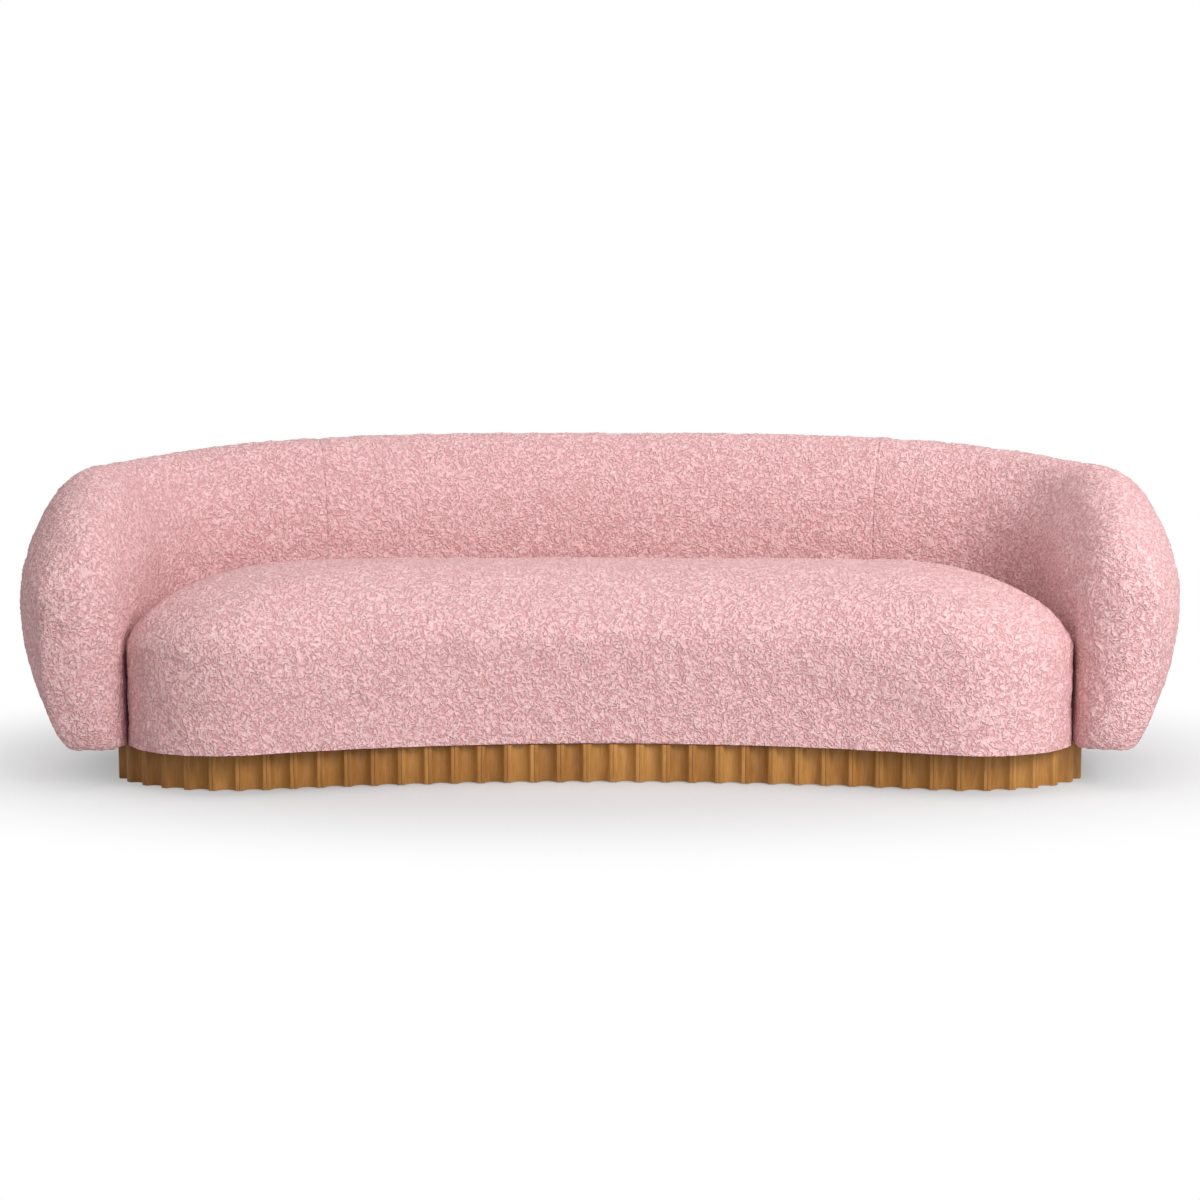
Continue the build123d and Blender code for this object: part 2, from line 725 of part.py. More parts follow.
def rear_stations():
    """Runs of the sections of the back and both rear corners."""
    half = runs(0, back_run, back_span_count // 2)
    half += runs(back_run, back_run + corner_run, corner_span_count)[1:]
    return [-run for run in reversed(half[1:])] + half


def bar(near_out, far_out, bottom_of, top_of, run_list):
    """Long board that follows the wrap: reaches out of the crest line and heights from functions."""
    rings = []
    for run in run_list:
        cut = back_section(run, former_inset, deck_top)
        low, high = bottom_of(cut), top_of(cut)
        rings.append([cut.point(near_out, low), cut.point(far_out, low), cut.point(far_out, high),
                      cut.point(near_out, high)])
    return faceted(rings)


def make_back_frame():
    stations = rear_stations()
    inner_face = former_inset - crest_to_inner
    half = crest_rail_width / 2
    rail_low = crest_rail_drop + crest_rail
    crest = bar(-half, half, lambda cut: cut.crest - rail_low, lambda cut: cut.crest - crest_rail_drop, stations)
    crest_notch = bar(-half - notch_gap, half + notch_gap, lambda cut: cut.crest - rail_low - notch_gap,
                      lambda cut: cut.crest + overrun, stations)
    lumbar_top = lumbar_height + lumbar_rail_height
    lumbar = bar(inner_face, inner_face + lumbar_rail, lambda cut: lumbar_height, lambda cut: lumbar_top, stations)
    lumbar_notch = bar(inner_face - overrun, inner_face + lumbar_rail + notch_gap,
                       lambda cut: lumbar_height - notch_gap, lambda cut: lumbar_top + notch_gap, stations)
    middle = len(stations) // 2
    half_spans = back_span_count // 2
    places = [middle + i for i in range(1 - half_spans, half_spans)]
    places += [middle + side * (half_spans + number) for number in corner_former_numbers for side in (-1, 1)]
    formers = []
    for place in sorted(places):
        cut = back_section(stations[place], former_inset + former_ease, deck_top)
        window = back_section(stations[place], former_inset + former_web, deck_top + former_web)
        along = Vector(-cut.ny, cut.nx) * former
        plate = (cut.plate(along) - window.plate(along)).moved(Location(along * -0.5))
        formers.append(solid_of(plate - crest_notch - lumbar_notch))
    save("back_formers", *formers)
    save("back_crest_rail", crest)
    save("back_lumbar_rail", lumbar)
    strap_face = inner_face - ease
    straps = []
    for height in back_strap_heights:
        straps.append(bar(strap_face - strap, strap_face, lambda cut: height,
                          lambda cut: height + back_strap_width, stations))
    save("back_straps", *straps)


def make_back_upholstery():
    stations = rear_stations()
    near = cover + ease
    foot = deck_top + ease
    save("back_outer_skin", strip(stations, skin_near, skin_far, Section.outer_points, foot))
    save("back_outer_pad", strip(stations, near, skin_near - ease, Section.outer_points, foot))
    save("back_inner_foam", strip(stations, near, near + inner_foam, Section.inner_points, foot))
    save("outer_back_cover", strip(stations, 0, cover, Section.outer_points, body_bottom))
    ends = corner_span_count + back_span_count // 2 - seam_span_count
    save("inner_back_cover_left", strip(stations[:ends + 1], 0, cover, Section.inner_points, foot))
    save("inner_back_cover_centre", strip(stations[ends:-ends], 0, cover, Section.inner_points, foot))
    save("inner_back_cover_right", strip(stations[-ends - 1:], 0, cover, Section.inner_points, foot))


# Arms

def make_arm(name, side):
    near = cover + ease
    pocket = footprint(cover, body_bottom - overrun, deck_top + ease)
    foot = below(deck_top + ease)
    save(name + "_arm_cover", solid_of(nose_solid(side, 0) - nose_solid(side, cover) - pocket))
    save(name + "_arm_foam", solid_of(nose_solid(side, near) - nose_solid(side, former_inset - ease) - foot))
    core = nose_solid(side, former_inset) - below(deck_top)
    stations = nose_stations(former_inset)
    spine_x = side * (half_length - crest_setback)
    lap = (deck_top + arm_height) / 2
    half = former / 2
    slot = half + notch_gap
    top = overall_height
    spine = core & slab(spine_x - half, front_y, 0, spine_x + half, stations[0] - notch_gap, top)
    formers = []
    for index in arm_former_numbers:
        y = stations[index]
        plate = core & slab(-half_length, y, 0, half_length, y + former, top)
        formers.append(solid_of(plate - slab(spine_x - slot, front_y, lap, spine_x + slot, rear_y, top)))
        spine = spine - slab(spine_x - former, y - notch_gap, 0, spine_x + former, y + former + notch_gap, lap)
    save(name + "_arm_formers", *formers)
    save(name + "_arm_spine", solid_of(spine))


os.makedirs("parts", exist_ok=True)
make_plinth()
make_staves()
make_fasteners()
make_deck()
make_seat_frame()
make_webbing()
make_seat()
make_back_frame()
make_back_upholstery()
make_arm("left", -1)
make_arm("right", 1)
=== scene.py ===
import bpy
import bmesh
import json
import numpy as np
from contextlib import contextmanager
from math import atan2, cos, pi, radians, sin, sqrt
from mathutils import Euler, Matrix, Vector, noise
from mathutils.bvhtree import BVHTree

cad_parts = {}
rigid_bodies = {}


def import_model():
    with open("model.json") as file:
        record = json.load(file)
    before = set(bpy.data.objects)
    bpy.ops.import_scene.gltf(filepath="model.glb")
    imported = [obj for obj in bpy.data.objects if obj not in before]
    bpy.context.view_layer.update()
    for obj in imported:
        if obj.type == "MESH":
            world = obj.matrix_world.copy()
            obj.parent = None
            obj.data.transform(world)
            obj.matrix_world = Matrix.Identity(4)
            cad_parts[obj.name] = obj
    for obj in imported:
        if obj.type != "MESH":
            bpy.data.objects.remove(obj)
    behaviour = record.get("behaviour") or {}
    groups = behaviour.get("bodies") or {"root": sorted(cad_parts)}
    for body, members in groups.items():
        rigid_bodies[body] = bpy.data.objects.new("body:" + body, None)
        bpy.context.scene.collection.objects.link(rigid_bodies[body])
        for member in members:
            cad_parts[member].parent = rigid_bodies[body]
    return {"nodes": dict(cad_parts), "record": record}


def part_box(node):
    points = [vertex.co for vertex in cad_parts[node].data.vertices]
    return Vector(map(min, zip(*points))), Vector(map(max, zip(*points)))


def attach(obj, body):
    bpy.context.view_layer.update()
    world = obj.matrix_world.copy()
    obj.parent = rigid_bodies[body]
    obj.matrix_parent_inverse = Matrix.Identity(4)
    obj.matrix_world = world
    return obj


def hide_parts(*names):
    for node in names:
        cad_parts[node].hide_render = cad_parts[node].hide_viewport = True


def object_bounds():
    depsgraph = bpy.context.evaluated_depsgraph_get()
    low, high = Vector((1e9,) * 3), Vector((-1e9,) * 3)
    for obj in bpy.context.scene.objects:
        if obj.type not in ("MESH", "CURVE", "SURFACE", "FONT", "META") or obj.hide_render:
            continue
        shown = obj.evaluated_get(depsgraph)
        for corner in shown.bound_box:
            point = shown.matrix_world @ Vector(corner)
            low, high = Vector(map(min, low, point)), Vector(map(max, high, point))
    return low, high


# Looks of a curved boucle sofa on a plinth of coved staves, built around the fixed frame.
# Metres. X runs to the right, the open front looks towards -Y, Z is up.

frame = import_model()
cad_low, cad_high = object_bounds()
nodes = frame["nodes"]

# Places read from the frame
half_length = (cad_high.x - cad_low.x) / 2
rear_y = cad_high.y
crest_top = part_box("outer_back_cover")[1].z
arm_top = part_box("left_arm_cover")[1].z
body_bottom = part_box("outer_back_cover")[0].z
deck_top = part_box("inner_back_cover_centre")[0].z
tip_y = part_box("left_arm_cover")[0].y
seat_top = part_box("seat_cover")[1].z
seat_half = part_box("seat_cover")[1].x
seat_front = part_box("seat_cover")[0].y
seat_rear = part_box("seat_cover")[1].y

# Shape of the wrap
wrap_thickness = 0.260
crest_setback = 0.150
bulge_height = 0.346
shoulder_height = 0.420
tuck = 0.104
back_radius = 2.340
corner_radius = 0.520
crest_fall = 1.73
seam_run = 0.712
seam_width = 0.006
seam_depth = 0.0007

# Rounded ends of the arms
tip_side = 1.060
tip_height = 0.388
tip_shoulder = 0.200
under_tip_length = 0.050
inner_round_length = 0.105
side_swell = 1.65
top_swell = 1.6
round_swell = 2.0

# Foot of the wrap, where the cloth turns under the body
hem = 0.014
foot_flat = 0.015
foot_rise = 0.034
foot_round_share = 0.4
inner_foot_share = 0.4
inner_rise_share = 0.2
foot_blend_length = 0.030
front_foot_rise = 0.030
front_foot_length = under_tip_length * 1.4
closed_length = under_tip_length * 1.5
deck_start = 0.190

# Shape of the seat
seat_lobe_spread = 0.739
seat_lobe_radius = 0.214
seat_scoop = 0.144
seat_corner_radius = 0.090
seat_edge_height = 0.270
seat_roll = 0.310
seat_top_lobe_radius = 0.110
seat_top_corner_radius = 0.070
scoop_kept = 0.7
rear_bow_kept = 0.25
seat_rear_corner_radius = 0.267
seat_rear_overlap = 0.010
hem_overlength = 0.030

# Cloth and its loops
cloth = 0.0055
cloth_gap = 0.0008
nub = 0.0034
nub_size = 0.0105
lump = 0.0022
lump_size = 0.045
nub_middle = 0.5
ripple_share = 0.35
ripple_scale = 0.6

# Filling out by simulation
swelling = 0.006
puff = 0.003
wrap_voxel = 0.015
seat_voxel = 0.0095
wrap_move = swelling * 1.6
seat_move = swelling * 1.5
shrink_reach = swelling * 1.5
weld_distance = 0.0012
relax_passes = 40
ring_passes = 12
tip_blend_length = 0.006
last_frame = 20
cloth_settings = {
    "use_pressure": True, "uniform_pressure_force": 4.0, "quality": 4, "mass": 0.4,
    "tension_stiffness": 12.0, "compression_stiffness": 12.0, "bending_stiffness": 1.5,
}

# How finely the cloth is meshed
grid_step = 0.0042
along_step = grid_step * 1.05
hidden_step = 0.012
under_step = grid_step * 1.3
nose_path_factor = 1.45
outer_arc_length = 0.40
inner_arc_length = 0.30
inner_drop_length = 0.34
seen_drop_share = 0.4
lining_stride = 6
lining_share = 0.05
body_stride = 3
bow_steps = 60
lobe_steps = 24
corner_steps = 16
side_steps = 40
side_level_shares = (0.1, 0.4, 0.7, 1)
crown_steps = 22
tip_size = 0.002
thinnest = 1e-5
lowest_bulge = 0.001
least_touch = 1e-7
least = 1e-9
least_normal = 1e-12

# Filling and timber
merge_distance = 0.00002
foam_ease = 0.0015
foam_gap = 0.001
foam_search = 0.05
felt_round = 0.0015
felt_angle = radians(40)
stave_round = 0.0005
stave_angle = radians(38)
stave_smooth_angle = radians(32)
flat_angle = radians(1)
tone_seed = 7

crest_to_inner = wrap_thickness - crest_setback
back_centre_y = rear_y - back_radius
corner_x = half_length - corner_radius
corner_y = back_centre_y + sqrt((back_radius - corner_radius) ** 2 - corner_x ** 2)
corner_angle = atan2(corner_y - back_centre_y, corner_x)
back_run = back_radius * (pi / 2 - corner_angle)
corner_run = corner_radius * corner_angle
nose_length = corner_y - tip_y
arm_inner_x = half_length - wrap_thickness


def new_piece(name, vertices, faces):
    mesh = bpy.data.meshes.new(name)
    mesh.from_pydata([tuple(v) for v in vertices], [], faces)
    mesh.update()
    piece = bpy.data.objects.new(name, mesh)
    bpy.context.scene.collection.objects.link(piece)
    return piece


def finish_piece(piece, material, replaced):
    """Give a piece its body and material, and hide the CAD node that it stands for."""
    piece.data.materials.clear()
    piece.data.materials.append(material)
    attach(piece, "root")
    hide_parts(replaced)


def pick(piece):
    """Make one piece the only selected and active one."""
    for other in bpy.context.view_layer.objects:
        other.select_set(False)
    piece.select_set(True)
    bpy.context.view_layer.objects.active = piece


def apply_modifier(piece, kind, **settings):
    pick(piece)
    modifier = piece.modifiers.new(kind.lower(), kind)
    for name, value in settings.items():
        setattr(modifier, name, value)
    bpy.ops.object.modifier_apply(modifier=modifier.name)


@contextmanager
def opened(piece):
    """The mesh of a piece to work on, which is written back at the end."""
    work = bmesh.new()
    work.from_mesh(piece.data)
    yield work
    work.to_mesh(piece.data)
    work.free()


def coordinates(piece):
    flat = np.empty(len(piece.data.vertices) * 3)
    piece.data.vertices.foreach_get("co", flat)
    return flat.reshape(-1, 3)


def set_coordinates(piece, places):
    piece.data.vertices.foreach_set("co", places.ravel())
    piece.data.update()


def vertex_normals(piece):
    flat = np.empty(len(piece.data.vertices) * 3)
    piece.data.vertex_normals.foreach_get("vector", flat)
    return flat.reshape(-1, 3)


def nearest_faces(vertices, faces):
    """A tree that finds the nearest spot of a surface."""
    return BVHTree.FromPolygons([tuple(v) for v in vertices], faces)


# The wrap as one smooth surface

def swell(share, exponent):
    """Rise from 0 to 1 along a rounded nose, full and flat at its far end."""
    share = np.clip(share, 0, 1)
    return (1 - (1 - share) ** exponent) ** (1 / exponent)


def steps(size, step):
    return max(2, round(size / step))


class Wrap:
    """Upright sections along the wrap, drawn in all round by an inset: one row of values for each section."""

    def __init__(self, inset=0.0):
        self.inset = inset
        back = np.arange(0, back_run + corner_run, along_step)
        back = np.append(back[:-1], back_run + corner_run)
        shares = np.linspace(0, 1, round(nose_length * nose_path_factor / grid_step))[1:]
        self.joint = len(back) - 1
        half = np.array([self.back(run) for run in back] + [self.nose(share) for share in shares])
        mirrored = half[:0:-1].copy()
        mirrored[:, [0, 2]] *= -1
        (self.x, self.y, self.nx, self.ny, self.outer, self.inner, self.bulge, self.shoulder, self.crest,
         self.low) = np.vstack([mirrored, half]).T
        self.middle = len(half) - 1
        self.runs = np.concatenate([-back[:0:-1], back])
        draw = tuck * (self.outer + self.inner) / (wrap_thickness - 2 * inset)
        height = np.maximum(self.bulge - body_bottom, lowest_bulge)
        self.side_radius = (draw ** 2 + height ** 2) / (2 * draw) - inset

    def back(self, run):
        """Section at a run along the crest, from the middle of the back to the end of the round corner."""
        if run <= back_run:
            angle, centre_x, centre_y, radius = pi / 2 - run / back_radius, 0, back_centre_y, back_radius
        else:
            angle = corner_angle - (run - back_run) / corner_radius
            centre_x, centre_y, radius = corner_x, corner_y, corner_radius
        reach = radius - crest_setback
        share = min(run / (back_run + corner_run), 1) ** crest_fall
        crest = crest_top - (crest_top - arm_top) * (1 - cos(pi * share)) / 2
        return (centre_x + reach * cos(angle), centre_y + reach * sin(angle), cos(angle), sin(angle),
                crest_setback - self.inset, crest_to_inner - self.inset, bulge_height, shoulder_height,
                crest - self.inset, body_bottom)

    def nose(self, share):
        """Section of the arm, from share 0 at the corner to share 1 at the tip."""
        inset = self.inset
        length = nose_length - inset
        run = length * (1 - sin(share * pi / 2))
        full = swell(run / length, side_swell)
        inner_full = swell(run / inner_round_length, round_swell)
        rise = swell(run / length, top_swell)
        under = swell(run / under_tip_length, round_swell)
        outer_x = tip_side + (half_length - inset - tip_side) * full
        inner_x = tip_side - (tip_side - arm_inner_x - inset) * inner_full
        crest_x = inner_x + (outer_x - inner_x) * (crest_to_inner - inset) / (wrap_thickness - 2 * inset)
        shoulder = shoulder_height - (shoulder_height - tip_shoulder) * (1 - run / length) ** 2
        outer, inner = max(outer_x - crest_x, thinnest), max(crest_x - inner_x, thinnest)
        full_heights = (bulge_height, shoulder, arm_top - inset)
        bulge, shoulder, crest = [tip_height + (height - tip_height) * rise for height in full_heights]
        low = tip_height - (tip_height - body_bottom - inset) * under
        return crest_x, tip_y + inset + run, 1, 0, outer, inner, bulge, shoulder, crest, low

    def point(self, out, height):
        return np.stack([self.x + out * self.nx, self.y + out * self.ny, height], axis=-1)

    def under(self, height):
        """How far out the bulging side is at a height."""
        reach = self.side_radius ** 2 - (self.bulge - height) ** 2
        return self.outer - self.side_radius + np.sqrt(np.maximum(reach, 0))

    def rows(self):
        """The lines of the surface, from the hem under the outer side over the crest and down inside."""
        lines = []
        low_out, low_in = self.under(self.low), -self.inner
        width = low_out - low_in
        away = self.y - tip_y
        rests = np.clip((away - deck_start) / foot_blend_length, 0, 1)
        floor = self.low + (deck_top + cloth_gap - self.low) * rests
        front = np.clip((front_foot_length - away) / foot_blend_length, 0, 1)
        foot_out = np.minimum(foot_flat, width / 4)
        foot_in = foot_out * inner_foot_share
        foot_out, foot_in = [f + (width * foot_round_share - f) * front for f in (foot_out, foot_in)]
        rise_out = np.minimum(foot_rise + front_foot_rise * front, (self.bulge - self.low) / 3)
        rise_in = rise_out * (inner_rise_share + (1 - inner_rise_share) * front)
        closing = np.clip((closed_length + hem - away) / hem, 0, 1)
        self.closed = closing >= 1
        turned = (np.minimum(hem, width / 2) + foot_out) * (1 - closing) + width / 2 * closing
        turned = np.minimum(turned, width / 2)
        under_count = steps(wrap_thickness / 2, under_step)
        for share in np.linspace(1, 0, under_count, endpoint=False):
            lines.append(self.point(low_out - foot_out - (turned - foot_out) * share, self.low))
        raised = self.low + rise_out
        corner_count = steps(foot_rise, grid_step)
        for t in np.linspace(0, 1, corner_count, endpoint=False):
            first, middle, last = (1 - t) ** 2, 2 * t * (1 - t), t ** 2
            out = first * (low_out - foot_out) + middle * low_out + last * self.under(raised)
            lines.append(self.point(out, self.low + last * rise_out))
        for share in np.linspace(0, 1, steps(bulge_height - body_bottom, grid_step), endpoint=False):
            height = raised + (self.bulge - raised) * share
            lines.append(self.point(self.under(height), height))
        for turn in np.linspace(0, pi / 2, steps(outer_arc_length, grid_step), endpoint=False):
            height = self.bulge + (self.crest - self.bulge) * sin(turn)
            lines.append(self.point(self.outer * cos(turn), height))
        self.crest_row = len(lines)
        for turn in np.linspace(pi / 2, 0, steps(inner_arc_length, grid_step), endpoint=False):
            height = self.shoulder + (self.crest - self.shoulder) * sin(turn)
            lines.append(self.point(-self.inner * cos(turn), height))
        drop = self.shoulder - floor - rise_in
        for start, end, step in ((0, seen_drop_share, grid_step), (seen_drop_share, 1, hidden_step)):
            count = steps(inner_drop_length * (end - start), step)
            for share in np.linspace(start, end, count, endpoint=False):
                lines.append(self.point(-self.inner, self.shoulder - drop * share))
        for t in np.linspace(0, 1, corner_count, endpoint=False):
            lines.append(self.point(low_in + t ** 2 * foot_in, floor + (1 - t) ** 2 * rise_in))
        for share in np.linspace(0, 1, under_count):
            lines.append(self.point(low_in + foot_in + (turned - foot_in) * share, floor))
        return np.stack(lines, axis=1)


def grid_faces(columns, rows, start=0, flip=False):
    """Quads between the points of a grid, column by column."""
    faces = []
    for c in range(columns - 1):
        for r in range(rows - 1):
            a = start + c * rows + r
            face = (a, a + 1, a + rows + 1, a + rows)
            faces.append(face[::-1] if flip else face)
    return faces


def grid_normals(points):
    along = np.gradient(points, axis=0)
    across = np.gradient(points, axis=1)
    normal = np.cross(across, along)
    length = np.linalg.norm(normal, axis=2, keepdims=True)
    return normal / np.maximum(length, least_normal)


def nub_height(places):
    """How high the loops of the cloth stand at each place, around a middle of about minus one half."""
    heights = np.empty(len(places))
    for index, place in enumerate(places):
        spot = Vector(place)
        wander = noise.noise(spot / lump_size)
        away = noise.voronoi(spot / nub_size + Vector((wander, -wander, wander)))[0][0]
        ripple = noise.noise(spot / nub_size * ripple_scale)
        heights[index] = ripple_share * ripple - min(away, 1.0) + wander * lump / nub
    return heights


# The cloth of the wrap

def simulate(piece, cap, voxel):
    """Let cloth settle over a padded body under a little pressure, and limit how far it moves."""
    apply_modifier(piece, "REMESH", mode="VOXEL", voxel_size=voxel)
    before = coordinates(piece)
    pick(piece)
    modifier = piece.modifiers.new("cloth", "CLOTH")
    for name, value in cloth_settings.items():
        setattr(modifier.settings, name, value)
    modifier.settings.effector_weights.gravity = 0.0
    for number in range(1, last_frame + 1):
        bpy.context.scene.frame_set(number)
    bpy.ops.object.modifier_apply(modifier=modifier.name)
    moved = coordinates(piece) - before
    length = np.linalg.norm(moved, axis=1, keepdims=True)
    set_coordinates(piece, before + moved * np.minimum(1, cap / np.maximum(length, least)))
    apply_modifier(piece, "SMOOTH", factor=0.5, iterations=3)
    apply_modifier(piece, "SUBSURF", levels=1, render_levels=1)


def filled_out(surface):
    """Where the wrap's surface meets a body of the wrap that a cloth simulation has filled out."""
    coarse = Wrap(swelling).rows()[::body_stride, ::body_stride]
    body = new_piece("wrap_body", coarse.reshape(-1, 3), grid_faces(*coarse.shape[:2]))
    apply_modifier(body, "WELD", merge_threshold=weld_distance)
    with opened(body) as work:
        bmesh.ops.holes_fill(work, edges=[e for e in work.edges if e.is_boundary], sides=0)
        bmesh.ops.triangulate(work, faces=[f for f in work.faces if len(f.verts) > 4])
    simulate(body, wrap_move, wrap_voxel)
    face = new_piece("wrap_cloth", surface.reshape(-1, 3), grid_faces(*surface.shape[:2]))
    apply_modifier(face, "SHRINKWRAP", target=body, wrap_method="PROJECT", use_negative_direction=True,
                   use_positive_direction=True, project_limit=shrink_reach)
    filled = coordinates(face).reshape(surface.shape)
    bpy.data.objects.remove(face)
    bpy.data.objects.remove(body)
    return filled


def relaxed(smooth, filled):
    """The surface with the body's swelling and slack, spread so that no voxel shows."""
    normals = grid_normals(smooth)
    moved = ((filled - smooth) * normals).sum(axis=2)
    met = abs(moved) > least_touch
    shift = np.where(met, moved - np.median(moved[met]), 0) if met.any() else moved
    shift = np.clip(shift, -puff, puff)
    for _ in range(relax_passes):
        shift[1:-1] = (shift[:-2] + 2 * shift[1:-1] + shift[2:]) / 4
        shift[:, 1:-1] = (shift[:, :-2] + 2 * shift[:, 1:-1] + shift[:, 2:]) / 4
    shift[:, [0, -1]] = 0
    shift[[0, -1]] = 0
    return smooth + normals * shift[..., None]


def wrap_normals(surface, closed):
    """Normals of the wrap, evened out round its closed front and straight ahead at the two tips."""
    normals = grid_normals(surface)
    ring = normals[closed, :-1]
    for _ in range(ring_passes):
        ring = (np.roll(ring, 1, axis=1) + 2 * ring + np.roll(ring, -1, axis=1)) / 4
    normals[closed] = np.concatenate([ring, ring[:, :1]], axis=1)
    near_tip = np.clip((surface[:, :, 1] - tip_y) / tip_blend_length, 0, 1)[..., None]
    normals = normals * near_tip + np.array([0.0, -1.0, 0.0]) * (1 - near_tip)
    return normals / np.maximum(np.linalg.norm(normals, axis=2, keepdims=True), least)


def seam_dent(wrap, columns):
    """How deep the two upright seams of the inner back draw in at each column."""
    dent = np.zeros((columns, 1))
    first = wrap.middle - wrap.joint
    for side in (-1, 1):
        away = (wrap.runs - side * seam_run) / seam_width
        dent[first:first + len(away), 0] += seam_depth * np.exp(-away ** 2)
    return dent


def lining_lines(count):
    """The lines of a grid that its plain lining keeps: every few and the last."""
    return sorted(set(range(0, count - 1, lining_stride)) | {count - 1})


def weld(piece, joined):
    """Merge points of a closed piece, each into the one that it is joined to."""
    with opened(piece) as work:
        work.verts.ensure_lookup_table()
        targets = {work.verts[moved]: work.verts[kept] for moved, kept in joined.items()}
        bmesh.ops.weld_verts(work, targetmap=targets)
        bmesh.ops.recalc_face_normals(work, faces=work.faces)


def panel(name, outer, smooth, normals, closed, node, material):
    """A closed panel of cloth: a nubby face, a plain lining and turned edges, one tube where it is closed."""
    columns, rows = outer.shape[:2]
    lining_columns, lining_rows = lining_lines(columns), lining_lines(rows)
    lining = (smooth - normals * cloth)[np.ix_(lining_columns, lining_rows)]
    vertices = np.vstack([outer.reshape(-1, 3), lining.reshape(-1, 3)])
    start, across = columns * rows, len(lining_rows)
    last_column = (columns - 1) * rows
    last_lining = start + (len(lining_columns) - 1) * across
    faces = grid_faces(columns, rows) + grid_faces(len(lining_columns), across, start, True)

    def rim(face_point, lining_point, lines, flip, shut=None):
        for place in range(len(lines) - 1):
            low, high = lines[place], lines[place + 1]
            if shut is not None and shut[low] and shut[high]:
                continue
            face = [face_point(i) for i in range(low, high + 1)]
            face += [lining_point(place + 1), lining_point(place)]
            faces.append(face[::-1] if flip else face)

    rim(lambda c: c * rows, lambda i: start + i * across, lining_columns, False, closed)
    rim(lambda c: c * rows + rows - 1, lambda i: start + i * across + across - 1,
        lining_columns, True, closed)
    tip_first, tip_last = [np.ptp(outer[end], axis=0).max() < tip_size for end in (0, -1)]
    if not tip_first:
        rim(lambda r: r, lambda i: start + i, lining_rows, True)
    if not tip_last:
        rim(lambda r: last_column + r, lambda i: last_lining + i, lining_rows, False)
    piece = new_piece(name, vertices, faces)
    shut = [place for place, column in enumerate(lining_columns) if closed[column]]
    if shut:
        shut_columns = range(lining_columns[shut[0]], lining_columns[shut[-1]] + 1)
        joined = {c * rows + rows - 1: c * rows for c in shut_columns}
        joined.update({start + i * across + across - 1: start + i * across for i in shut})
        tip, lining_tip = (0, start) if tip_first else (last_column, last_lining)
        joined.update({tip + i: tip for i in range(1, rows)})
        joined.update({lining_tip + i: lining_tip for i in range(1, across)})
        weld(piece, joined)
    piece.data.shade_smooth()
    finish_piece(piece, material, node)


def make_wrap(material):
    """The six panels of the wrap, cut from one surface, and a tree of that surface for what lies under it."""
    wrap = Wrap()
    surface = wrap.rows()
    columns, rows = surface.shape[:2]
    surface = relaxed(surface, filled_out(surface))
    normals = wrap_normals(surface, wrap.closed)
    heights = nub_height(surface.reshape(-1, 3)).reshape(columns, rows)
    nubby = surface + normals * (heights * nub + nub * nub_middle - seam_dent(wrap, columns))[..., None]
    first, last = wrap.middle - wrap.joint, wrap.middle + wrap.joint
    seams = [first + int(np.argmin(abs(wrap.runs - side * seam_run))) for side in (-1, 1)]
    whole, over = slice(0, rows), slice(0, wrap.crest_row + 1)
    inside = slice(wrap.crest_row, rows)
    cuts = [
        ("left_arm_boucle", "left_arm_cover", slice(0, first + 1), whole),
        ("right_arm_boucle", "right_arm_cover", slice(last, columns), whole),
        ("outer_back_boucle", "outer_back_cover", slice(first, last + 1), over),
        ("inner_back_boucle_left", "inner_back_cover_left", slice(first, seams[0] + 1), inside),
        ("inner_back_boucle_centre", "inner_back_cover_centre", slice(seams[0], seams[1] + 1), inside),
        ("inner_back_boucle_right", "inner_back_cover_right", slice(seams[1], last + 1), inside),
    ]
    for name, node, c, r in cuts:
        panel(name, nubby[c, r], surface[c, r], normals[c, r], wrap.closed[c], node, material)
    return nearest_faces(surface.reshape(-1, 3), grid_faces(columns, rows))


# The seat

def plan_ring(half, lobe_y, scoop, lobe_x, lobe_r, corner_r, rear, rise, rear_corner_r):
    """Closed outline of the seat at one level: scooped front, lobes, corners, sides and bowed rear."""
    front_r = (lobe_x ** 2 + scoop ** 2 - 2 * lobe_r * scoop) / (2 * scoop)
    front_c = np.array([0, lobe_y + scoop - front_r])
    lobe_c = np.array([lobe_x, lobe_y + lobe_r])
    reach = half - corner_r - lobe_x
    corner_c = np.array([half - corner_r, lobe_y + lobe_r - sqrt((lobe_r - corner_r) ** 2 - reach ** 2)])
    rear_corner_c = np.array([half - rear_corner_r, rear - rise - rear_corner_r])
    rear_r = rear_corner_r + ((half - rear_corner_r) ** 2 + rise ** 2) / (2 * rise)
    rear_c = np.array([0, rear - rear_r])
    joint, turn, back = lobe_c - front_c, corner_c - lobe_c, rear_corner_c - rear_c
    lobe_end = atan2(turn[1], turn[0]) % (2 * pi)
    back_angle = atan2(back[1], back[0])
    arcs = [
        (front_c, front_r, pi / 2, atan2(joint[1], joint[0]), bow_steps),
        (lobe_c, lobe_r, atan2(-joint[1], -joint[0]) + 2 * pi, lobe_end, lobe_steps),
        (corner_c, corner_r, lobe_end, 2 * pi, corner_steps),
        (rear_corner_c, rear_corner_r, 0, back_angle, lobe_steps),
        (rear_c, rear_r, back_angle, pi / 2, bow_steps),
    ]
    points = []
    for centre, radius, start, end, count in arcs:
        if centre is rear_corner_c:
            low = corner_c + np.array([corner_r, 0])
            high = rear_corner_c + np.array([rear_corner_r, 0])
            points += [low + (high - low) * share for share in np.linspace(0, 1, side_steps, endpoint=False)]
        angles = np.linspace(start, end, count, endpoint=centre is rear_c)
        points += [centre + radius * np.array([cos(a), sin(a)]) for a in angles]
    right = np.array(points)
    left = right[-2:0:-1] * np.array([-1, 1])
    return np.vstack([right, left])


